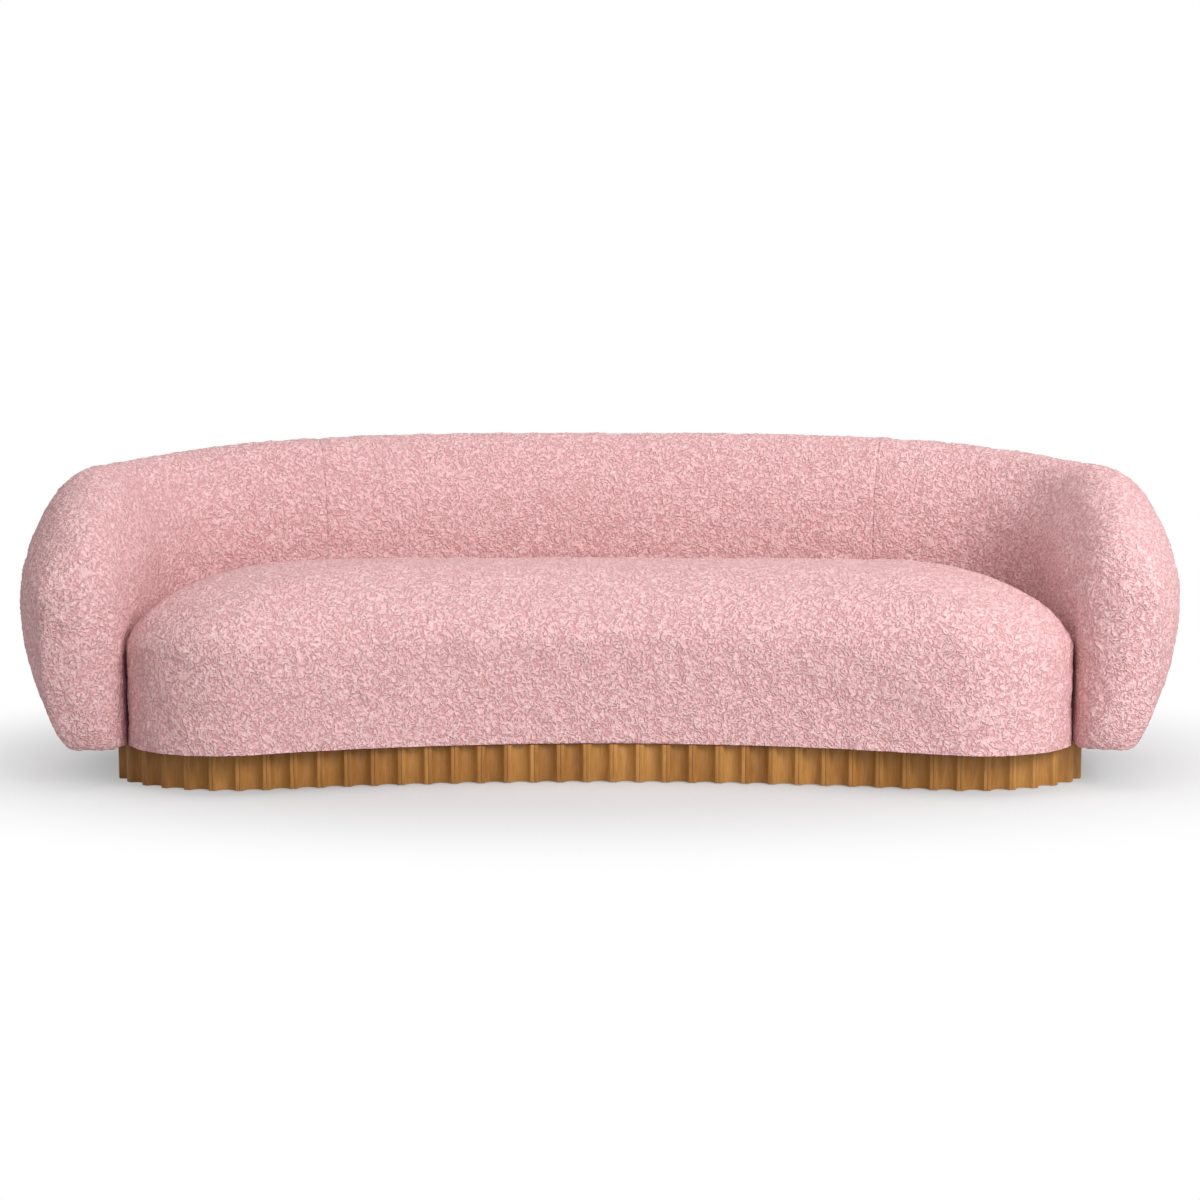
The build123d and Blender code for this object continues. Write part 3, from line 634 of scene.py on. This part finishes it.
def seat_ring(level, inset):
    """Outline of the seat from level 0 at its sides to level 1 on its crown, drawn in by an inset."""
    draw = seat_roll * level
    side_share = (seat_half - seat_corner_radius - seat_lobe_spread) / (seat_lobe_radius - seat_corner_radius)
    lobe = seat_lobe_radius + (seat_top_lobe_radius - seat_lobe_radius) * level
    corner = seat_corner_radius + (seat_top_corner_radius - seat_corner_radius) * level
    lobe_x = seat_half - draw - corner - side_share * (lobe - corner)
    bow = seat_rear - corner_y - (seat_rear_corner_radius - seat_rear_overlap)
    bow *= 1 - (1 - rear_bow_kept) * level
    scoop = seat_scoop * (1 - (1 - scoop_kept) * level)
    rear_corner = seat_rear_corner_radius + (seat_top_corner_radius - seat_rear_corner_radius) * level
    ring = plan_ring(seat_half - draw, seat_front + draw, scoop, lobe_x, lobe, corner, seat_rear - draw, bow,
                     rear_corner)
    along = np.roll(ring, -1, axis=0) - np.roll(ring, 1, axis=0)
    inward = np.stack([-along[:, 1], along[:, 0]], axis=1)
    return ring + inward / np.linalg.norm(inward, axis=1, keepdims=True) * inset


def seat_levels():
    """Level and height of each ring: down past the hem, up the sides and over the crown."""
    levels = [(0, body_bottom - hem_overlength)]
    levels += [(0, body_bottom + (seat_edge_height - body_bottom) * share) for share in side_level_shares]
    for turn in np.linspace(0, pi / 2, crown_steps)[1:]:
        levels.append((1 - cos(turn), seat_edge_height + (seat_top - seat_edge_height) * sin(turn)))
    return levels


def seat_body(inset):
    """Points and faces of the closed seat, drawn in all round by an inset."""
    rings = []
    for level, height in seat_levels():
        ring = seat_ring(level, inset)
        drawn = inset * max(height - seat_edge_height, 0) / (seat_top - seat_edge_height)
        rings.append(np.column_stack([ring, np.full(len(ring), height - drawn)]))
    count = len(rings[0])
    faces = []
    for k in range(len(rings) - 1):
        for i in range(count):
            a, b = k * count + i, k * count + (i + 1) % count
            faces.append((a, b, b + count, a + count))
    faces.append(tuple(range(count))[::-1])
    faces.append(tuple((len(rings) - 1) * count + i for i in range(count)))
    return np.vstack(rings), faces


def settle(piece, vertices, faces):
    """Carry a filled body to the true form, and keep what its cloth swells and sinks around it."""
    tree = nearest_faces(vertices, faces)
    places = coordinates(piece)
    nearest, ways, depths = np.empty_like(places), np.empty_like(places), np.empty(len(places))
    for index, place in enumerate(places):
        spot, way, _, _ = tree.find_nearest(Vector(place))
        nearest[index], ways[index] = spot, way
        depths[index] = (Vector(place) - spot).dot(way)
    slack = np.clip(depths - np.median(depths), -puff, puff)
    set_coordinates(piece, nearest + ways * slack[:, None])


def cut_below(piece, height):
    with opened(piece) as work:
        geometry = list(work.verts) + list(work.edges) + list(work.faces)
        bmesh.ops.bisect_plane(work, geom=geometry, plane_co=(0, 0, height), plane_no=(0, 0, -1),
                               clear_outer=True)


def make_seat(material):
    """The tight crowned seat: one closed body, filled out by a cloth simulation and then hollowed."""
    seat = new_piece("seat_boucle", *seat_body(swelling))
    simulate(seat, seat_move, seat_voxel)
    settle(seat, *seat_body(0.0))
    apply_modifier(seat, "SMOOTH", factor=0.5, iterations=3)
    floor = body_bottom + cloth_gap * 2
    lining = seat.copy()
    lining.data = seat.data.copy()
    bpy.context.scene.collection.objects.link(lining)
    set_coordinates(lining, coordinates(lining) - vertex_normals(lining) * cloth)
    apply_modifier(lining, "DECIMATE", ratio=lining_share)
    cut_below(lining, floor)
    cut_below(seat, floor)
    places = coordinates(seat)
    heights = nub_height(places)
    set_coordinates(seat, places + vertex_normals(seat) * (heights * nub + nub * nub_middle)[:, None])
    lining.data.flip_normals()
    pick(seat)
    lining.select_set(True)
    bpy.ops.object.join()
    with opened(seat) as work:
        bmesh.ops.bridge_loops(work, edges=[e for e in work.edges if e.is_boundary])
        bmesh.ops.recalc_face_normals(work, faces=work.faces)
    seat.data.shade_smooth()
    finish_piece(seat, material, "seat_cover")


# Filling under the cloth

def copy_of(node, name):
    """A free copy of a CAD node with its loose triangles merged."""
    piece = nodes[node].copy()
    piece.data = nodes[node].data.copy()
    piece.name = piece.data.name = name
    piece.parent = None
    for key in list(piece.keys()):
        del piece[key]
    bpy.context.scene.collection.objects.link(piece)
    with opened(piece) as work:
        bmesh.ops.remove_doubles(work, verts=work.verts, dist=merge_distance)
        bmesh.ops.dissolve_limit(work, angle_limit=flat_angle, verts=work.verts, edges=work.edges)
    return piece


def tuck_inside(piece, tree, depth):
    """Press what reaches too near the cloth back under it."""
    places = coordinates(piece)
    for index, place in enumerate(places):
        spot, way, _, _ = tree.find_nearest(Vector(place), foam_search)
        if spot is not None and (Vector(place) - spot).dot(way) > -depth:
            places[index] = spot - way * depth
    set_coordinates(piece, places)


def make_foam(material, wrap_tree):
    """The blocks of foam, each rounded and drawn in a little from its CAD solid."""
    cores = [
        ("seat_foam", "seat_core", 0.009), ("left_arm_foam", "left_arm_core", 0.007),
        ("right_arm_foam", "right_arm_core", 0.007), ("back_inner_foam", "back_core", 0.008),
        ("back_outer_pad", "back_pad_core", 0.008),
    ]
    for node, name, voxel in cores:
        core = copy_of(node, name)
        apply_modifier(core, "REMESH", mode="VOXEL", voxel_size=voxel)
        apply_modifier(core, "SMOOTH", factor=0.5, iterations=4)
        set_coordinates(core, coordinates(core) - vertex_normals(core) * foam_ease)
        if "arm" in node:
            tuck_inside(core, wrap_tree, cloth + foam_gap)
        core.data.shade_smooth()
        finish_piece(core, material, node)


def make_felt(material):
    felt = copy_of("seat_felt", "seat_felt_pad")
    apply_modifier(felt, "BEVEL", width=felt_round, segments=2, limit_method="ANGLE", angle_limit=felt_angle)
    felt.data.shade_smooth()
    finish_piece(felt, material, "seat_felt")


def make_bottom_lining(material):
    """The black lining stretched under the deck board."""
    lining = copy_of("dust_cover", "bottom_lining")
    finish_piece(lining, material, "dust_cover")


# Wood of the plinth

def number_islands(piece, name):
    """Give each separate solid of a piece a steady random number, kept on its points."""
    work = bmesh.new()
    work.from_mesh(piece.data)
    tone = np.zeros(len(work.verts))
    draw = np.random.default_rng(tone_seed)
    seen = set()
    for start in work.verts:
        if start.index in seen:
            continue
        value, queue = draw.random(), [start]
        seen.add(start.index)
        while queue:
            vertex = queue.pop()
            tone[vertex.index] = value
            for edge in vertex.link_edges:
                other = edge.other_vert(vertex)
                if other.index not in seen:
                    seen.add(other.index)
                    queue.append(other)
    work.free()
    attribute = piece.data.attributes.new(name, "FLOAT", "POINT")
    attribute.data.foreach_set("value", tone.astype(np.float32))


def make_staves(material):
    for side in ("front", "rear", "left", "right"):
        node = "plinth_" + side + "_staves"
        staves = copy_of(node, side + "_staves")
        number_islands(staves, "stave_tone")
        apply_modifier(staves, "BEVEL", width=stave_round, segments=2, limit_method="ANGLE",
                       angle_limit=stave_angle)
        pick(staves)
        bpy.ops.object.shade_smooth_by_angle(angle=stave_smooth_angle)
        finish_piece(staves, material, node)


# Materials

class Field:
    """A value that changes over a surface, worked out by shader nodes."""

    def __init__(self, finish, socket):
        self.finish, self.socket = finish, socket

    def calculate(self, operation, first, second=0.0, clamp=False):
        return self.finish.add("ShaderNodeMath", {"operation": operation, "use_clamp": clamp},
                               {0: first, 1: second})["Value"]

    def __add__(self, other):
        return self.calculate("ADD", self, other)

    def __mul__(self, other):
        return self.calculate("MULTIPLY", self, other)

    def __sub__(self, other):
        return self.calculate("SUBTRACT", self, other)

    def __rsub__(self, other):
        return self.calculate("SUBTRACT", other, self)

    __radd__ = __add__
    __rmul__ = __mul__

    def sine(self):
        return self.calculate("SINE", self)

    def clamped(self):
        return self.calculate("MULTIPLY", self, 1.0, True)

    def high(self, other):
        return self.calculate("MAXIMUM", self, other)


class Finish:
    """One material and the nodes that paint it."""

    def __init__(self, name):
        self.material = bpy.data.materials.new(name)
        self.material.use_nodes = True
        self.tree = self.material.node_tree
        self.shader = next(n for n in self.tree.nodes if n.type == "BSDF_PRINCIPLED")
        self.place = self.add("ShaderNodeTexCoord")["Object"]

    def add(self, kind, settings=None, inputs=None):
        node = self.tree.nodes.new(kind)
        for name, value in (settings or {}).items():
            if name == "stops":
                self.set_stops(node.color_ramp, value)
            else:
                setattr(node, name, value)
        for name, value in (inputs or {}).items():
            socket = node.inputs[name] if isinstance(name, int) else next(
                s for s in node.inputs if s.name == name and s.enabled)
            self.feed(socket, value)
        return {s.name: Field(self, s) for s in node.outputs if s.enabled}

    def set_stops(self, ramp, stops):
        while len(ramp.elements) < len(stops):
            ramp.elements.new(0.5)
        for element, (place, colour) in zip(ramp.elements, stops):
            element.position = place
            element.color = (*colour, 1)

    def feed(self, socket, value):
        if isinstance(value, Field):
            self.tree.links.new(value.socket, socket)
        else:
            socket.default_value = value

    def set(self, **values):
        for name, value in values.items():
            self.feed(self.shader.inputs[name.replace("_", " ")], value)

    def mapped(self, vector, **inputs):
        inputs = {name.title(): value for name, value in inputs.items()}
        return self.add("ShaderNodeMapping", {}, {"Vector": vector, **inputs})["Vector"]

    def noise(self, vector, scale, detail=2.0, roughness=0.5, distortion=0.0):
        inputs = {"Vector": vector, "Scale": scale, "Detail": detail, "Roughness": roughness}
        return self.add("ShaderNodeTexNoise", {}, {**inputs, "Distortion": distortion})["Fac"]

    def cells(self, scale):
        return self.add("ShaderNodeTexVoronoi", {}, {"Vector": self.place, "Scale": scale})["Distance"]

    def bands(self, direction, scale):
        return self.add("ShaderNodeTexWave", {"bands_direction": direction},
                        {"Vector": self.place, "Scale": scale})["Fac"]

    def ramp(self, value, *stops):
        return self.add("ShaderNodeValToRGB", {"stops": stops}, {"Fac": value})["Color"]

    def bump(self, height, distance, strength=1.0):
        inputs = {"Height": height, "Distance": distance, "Strength": strength}
        self.set(Normal=self.add("ShaderNodeBump", {}, inputs)["Normal"])


def linear(red, green, blue):
    """A colour given in screen values above 10, as the shader needs it."""
    shares = [value / 255 for value in (red, green, blue)]
    return tuple(((share + 0.055) / 1.055) ** 2.4 for share in shares)


def boucle_finish():
    """Looped wool: short curled ridges in the bump, with a painted highlight on the ridge tops and painted
    shade in the pits.
    """
    f = Finish("boucle_cloth")
    wander = f.noise(f.place, 9, 2.0)
    ridges_per_cloud = 3.2
    curls = []
    for scale, shift in ((86, 0.0), (110, 3.7)):
        cloud = f.noise(f.mapped(f.place, location=(shift, shift, shift)), scale, 1.0, 0.4, 0.5)
        curls.append((cloud * (2 * pi * ridges_per_cloud)).sine() * 0.5 + 0.5)
    curl = curls[0].high(curls[1]) * 0.3 + (curls[0] + curls[1]) * 0.35
    grain = f.noise(f.place, 480, 2.0, 0.6)
    height = (curl * 0.8 + grain * 0.2).clamped()
    tone = (height * 0.92 + wander * 0.1).clamped()
    # The colour follows the loop height: a paler painted highlight on the ridge tops and painted shade in the
    # pits. The wander noise adds random tone.
    colour = f.ramp(tone, (0.0, linear(210, 149, 150)), (0.42, linear(228, 176, 177)),
                    (0.75, linear(241, 198, 199)), (1.0, linear(250, 218, 219)))
    f.set(Base_Color=colour, Roughness=0.95, Specular_IOR_Level=0.12, Sheen_Weight=0.15, Sheen_Roughness=0.6,
          Sheen_Tint=(*linear(250, 222, 222), 1))
    f.bump(height, 0.0038)
    return f.material


def stave_finish():
    """Oiled timber with upright grain, a little different on each stave."""
    f = Finish("stave_timber")
    tone = f.add("ShaderNodeAttribute", {"attribute_name": "stave_tone"})["Fac"]
    shift = f.add("ShaderNodeCombineXYZ", {}, {"X": tone * 7.0, "Y": tone * 3.0, "Z": tone * 11.0})["Vector"]
    place = f.add("ShaderNodeVectorMath", {"operation": "ADD"}, {0: f.place, 1: shift})["Vector"]
    grain = f.noise(f.mapped(place, scale=(1, 1, 0.045)), 620, 4.0, 0.6)
    figure = f.noise(f.mapped(place, scale=(1, 1, 0.22)), 70, 3.0, 0.55, 0.8)
    streak = (grain * 0.45 + figure * 0.4 + tone * 0.25 - 0.05).clamped()
    colour = f.ramp(streak, (0.15, linear(130, 84, 36)), (0.45, linear(166, 113, 52)),
                    (0.65, linear(188, 134, 68)), (0.9, linear(208, 157, 90)))
    f.set(Base_Color=colour, Roughness=0.42 + grain * 0.16, Specular_IOR_Level=0.4)
    f.bump(grain, 0.0004, 0.35)
    return f.material


def plain_timber(name, light, dark, stretch):
    f = Finish(name)
    along = f.mapped(f.place, scale=stretch)
    grain = f.noise(along, 180, 4.0, 0.6, 0.3)
    figure = f.noise(along, 22, 2.0, 0.5, 1.2)
    colour = f.ramp((grain * 0.5 + figure * 0.5).clamped(), (0.3, dark), (0.7, light))
    f.set(Base_Color=colour, Roughness=0.6 + grain * 0.2)
    f.bump(grain, 0.0004, 0.4)
    return f.material


def foam_finish(name, light, dark, scale):
    f = Finish(name)
    pores = f.cells(scale)
    age = f.noise(f.place, 9, 2.0)
    colour = f.ramp((pores * 0.5 + age * 0.5).clamped(), (0.25, dark), (0.6, light))
    f.set(Base_Color=colour, Roughness=0.95)
    f.bump(pores, 0.0008, 0.5)
    return f.material


def woven_finish(name, light, dark, pitch):
    f = Finish(name)
    weave = (f.bands("X", pitch) * f.bands("Y", pitch)).clamped()
    fuzz = f.noise(f.place, 600, 2.0)
    colour = f.ramp((weave * 0.6 + fuzz * 0.4).clamped(), (0.2, dark), (0.8, light))
    f.set(Base_Color=colour, Roughness=0.85)
    f.bump(weave, 0.0006, 0.6)
    return f.material


def metal_finish():
    f = Finish("zinc_plate")
    cloud = f.noise(f.place, 160, 3.0)
    f.set(Base_Color=f.ramp(cloud, (0.3, (0.42, 0.43, 0.44)), (0.7, (0.62, 0.63, 0.63))), Metallic=1.0,
          Roughness=0.28 + cloud * 0.25)
    f.bump(cloud, 0.0002, 0.2)
    return f.material


def nylon_finish():
    f = Finish("glide_black_nylon")
    scuff = f.noise(f.place, 240, 3.0)
    f.set(Base_Color=f.ramp(scuff, (0.35, (0.010, 0.010, 0.011)), (0.8, (0.035, 0.035, 0.036))),
          Roughness=0.45 + scuff * 0.25)
    f.bump(scuff, 0.0002, 0.3)
    return f.material


def paint_inner_nodes():
    """Paint the pieces that are carried over from the frame, and give back the finishes by slot."""
    finishes = {
        "plywood": plain_timber("birch_plywood", linear(214, 184, 142), linear(182, 148, 104), (1, 1, 6)),
        "plinth_panel": plain_timber("plinth_plywood", linear(196, 162, 116), linear(160, 124, 80),
                                     (0.2, 1, 1)),
        "beech": plain_timber("beech_rail", linear(214, 170, 128), linear(188, 138, 94), (0.1, 1, 1)),
        "foam": foam_finish("cut_foam", linear(238, 226, 190), linear(214, 198, 150), 700),
        "felt": foam_finish("needled_felt", linear(176, 172, 164), linear(140, 136, 130), 420),
        "webbing": woven_finish("woven_webbing", linear(74, 70, 70), linear(38, 36, 36), 260),
        "dust_cloth": woven_finish("black_lining", linear(44, 44, 46), linear(24, 24, 26), 420),
        "zinc_steel": metal_finish(),
        "glide_nylon": nylon_finish(),
    }
    slots = {part["node"]: part["material_slot"] for part in frame["record"]["subparts"]}
    for name, node in nodes.items():
        finish = finishes.get(slots.get(name))
        if finish:
            for slot in node.material_slots:
                slot.material = finish
    return finishes


# Studio

floor_reach = 14.0
floor_oval = (1.22, 0.8)
shadow_near = 0.7
shadow_far = 1.45
glow_near = 0.25
air_strength = 0.50
lamps = [
    ("key_light", (3.0, -3.6, 2.8), (0, 0, 0.3), (1.8, 1.8), 138),
    ("top_light", (0.4, -0.6, 3.4), (0, 0, 0.3), (3.0, 1.8), 32),
    ("left_fill", (-3.2, -3.0, 2.0), (0, 0, 0.4), (2.5, 2.0), 6),
    ("right_fill", (1.7, -2.9, 0.8), (1.0, 0, 0.3), (1.2, 1.2), 13),
    ("back_light", (-1.0, 3.5, 2.6), (0, 0, 0.3), (2.5, 1.8), 30),
]


def make_stage():
    """A pale floor that keeps the shadow and turns white away from the sofa."""
    f = Finish("studio_floor")
    f.set(Base_Color=(*linear(208, 208, 209), 1), Roughness=0.9, Specular_IOR_Level=0.1)
    rays = f.add("ShaderNodeLightPath")
    oval = f.mapped(f.place, scale=(1 / floor_oval[0], 1 / floor_oval[1], 1))
    away = f.add("ShaderNodeVectorMath", {"operation": "LENGTH"}, {0: oval})["Value"]
    far = f.add("ShaderNodeMapRange", {"interpolation_type": "SMOOTHSTEP"},
                {"Value": away, "From Min": shadow_near, "From Max": shadow_far,
                 "To Min": glow_near, "To Max": 1.0})["Result"]
    seen = rays["Is Camera Ray"].high(rays["Is Glossy Ray"].high(rays["Is Transmission Ray"]))
    glow = f.add("ShaderNodeEmission", {}, {"Color": (1, 1, 1, 1), "Strength": 1.0})["Emission"]
    body = Field(f, f.shader.outputs["BSDF"])
    blend = f.add("ShaderNodeMixShader", {}, {0: seen * far, 1: body, 2: glow})["Shader"]
    out = next(n for n in f.tree.nodes if n.type == "OUTPUT_MATERIAL")
    f.tree.links.new(blend.socket, out.inputs["Surface"])
    corners = [(x * floor_reach, y * floor_reach, 0) for x, y in ((-1, -1), (1, -1), (1, 1), (-1, 1))]
    floor = new_piece("studio_floor", corners, [(0, 1, 2, 3)])
    floor.data.materials.append(f.material)


def make_air():
    """Even white light all round, which the camera sees as a white background."""
    world = bpy.data.worlds.new("studio_air")
    world.use_nodes = True
    tree = world.node_tree
    back = next(n for n in tree.nodes if n.type == "BACKGROUND")
    white = tree.nodes.new("ShaderNodeBackground")
    for node, strength in ((back, air_strength), (white, 1.0)):
        node.inputs["Color"].default_value = (1, 1, 1, 1)
        node.inputs["Strength"].default_value = strength
    rays = tree.nodes.new("ShaderNodeLightPath")
    mix = tree.nodes.new("ShaderNodeMixShader")
    tree.links.new(rays.outputs["Is Camera Ray"], mix.inputs[0])
    tree.links.new(back.outputs[0], mix.inputs[1])
    tree.links.new(white.outputs[0], mix.inputs[2])
    out = next(n for n in tree.nodes if n.type == "OUTPUT_WORLD")
    tree.links.new(mix.outputs[0], out.inputs["Surface"])
    bpy.context.scene.world = world


def make_light(name, place, target, size, power):
    lamp = bpy.data.lights.new(name, "AREA")
    lamp.shape = "RECTANGLE"
    lamp.size, lamp.size_y = size
    lamp.energy = power
    light = bpy.data.objects.new(name, lamp)
    light.location = place
    light.rotation_euler = (Vector(target) - Vector(place)).to_track_quat("-Z", "Y").to_euler()
    bpy.context.scene.collection.objects.link(light)


def make_camera():
    """The photograph's camera: in front of the middle, just above the crest, looking a little down."""
    focal_pixels = 1873.7
    image_width = 1200
    sensor_width = 36.0
    distance = 4.077
    height = 0.726
    tilt = radians(5.58)
    camera = bpy.data.cameras.new("photo_camera")
    camera.sensor_width = sensor_width
    camera.lens = sensor_width * focal_pixels / image_width
    camera.clip_end = 60
    view = bpy.data.objects.new("photo_camera", camera)
    view.location = (0, -distance, height)
    view.rotation_euler = Euler((pi / 2 - tilt, 0, 0))
    bpy.context.scene.collection.objects.link(view)
    bpy.context.scene.camera = view


make_camera()
make_stage()
make_air()
for settings in lamps:
    make_light(*settings)
bpy.context.scene.view_settings.view_transform = "Standard"
finishes = paint_inner_nodes()
boucle = boucle_finish()
make_foam(finishes["foam"], make_wrap(boucle))
make_felt(finishes["felt"])
make_bottom_lining(finishes["dust_cloth"])
make_seat(boucle)
make_staves(stave_finish())
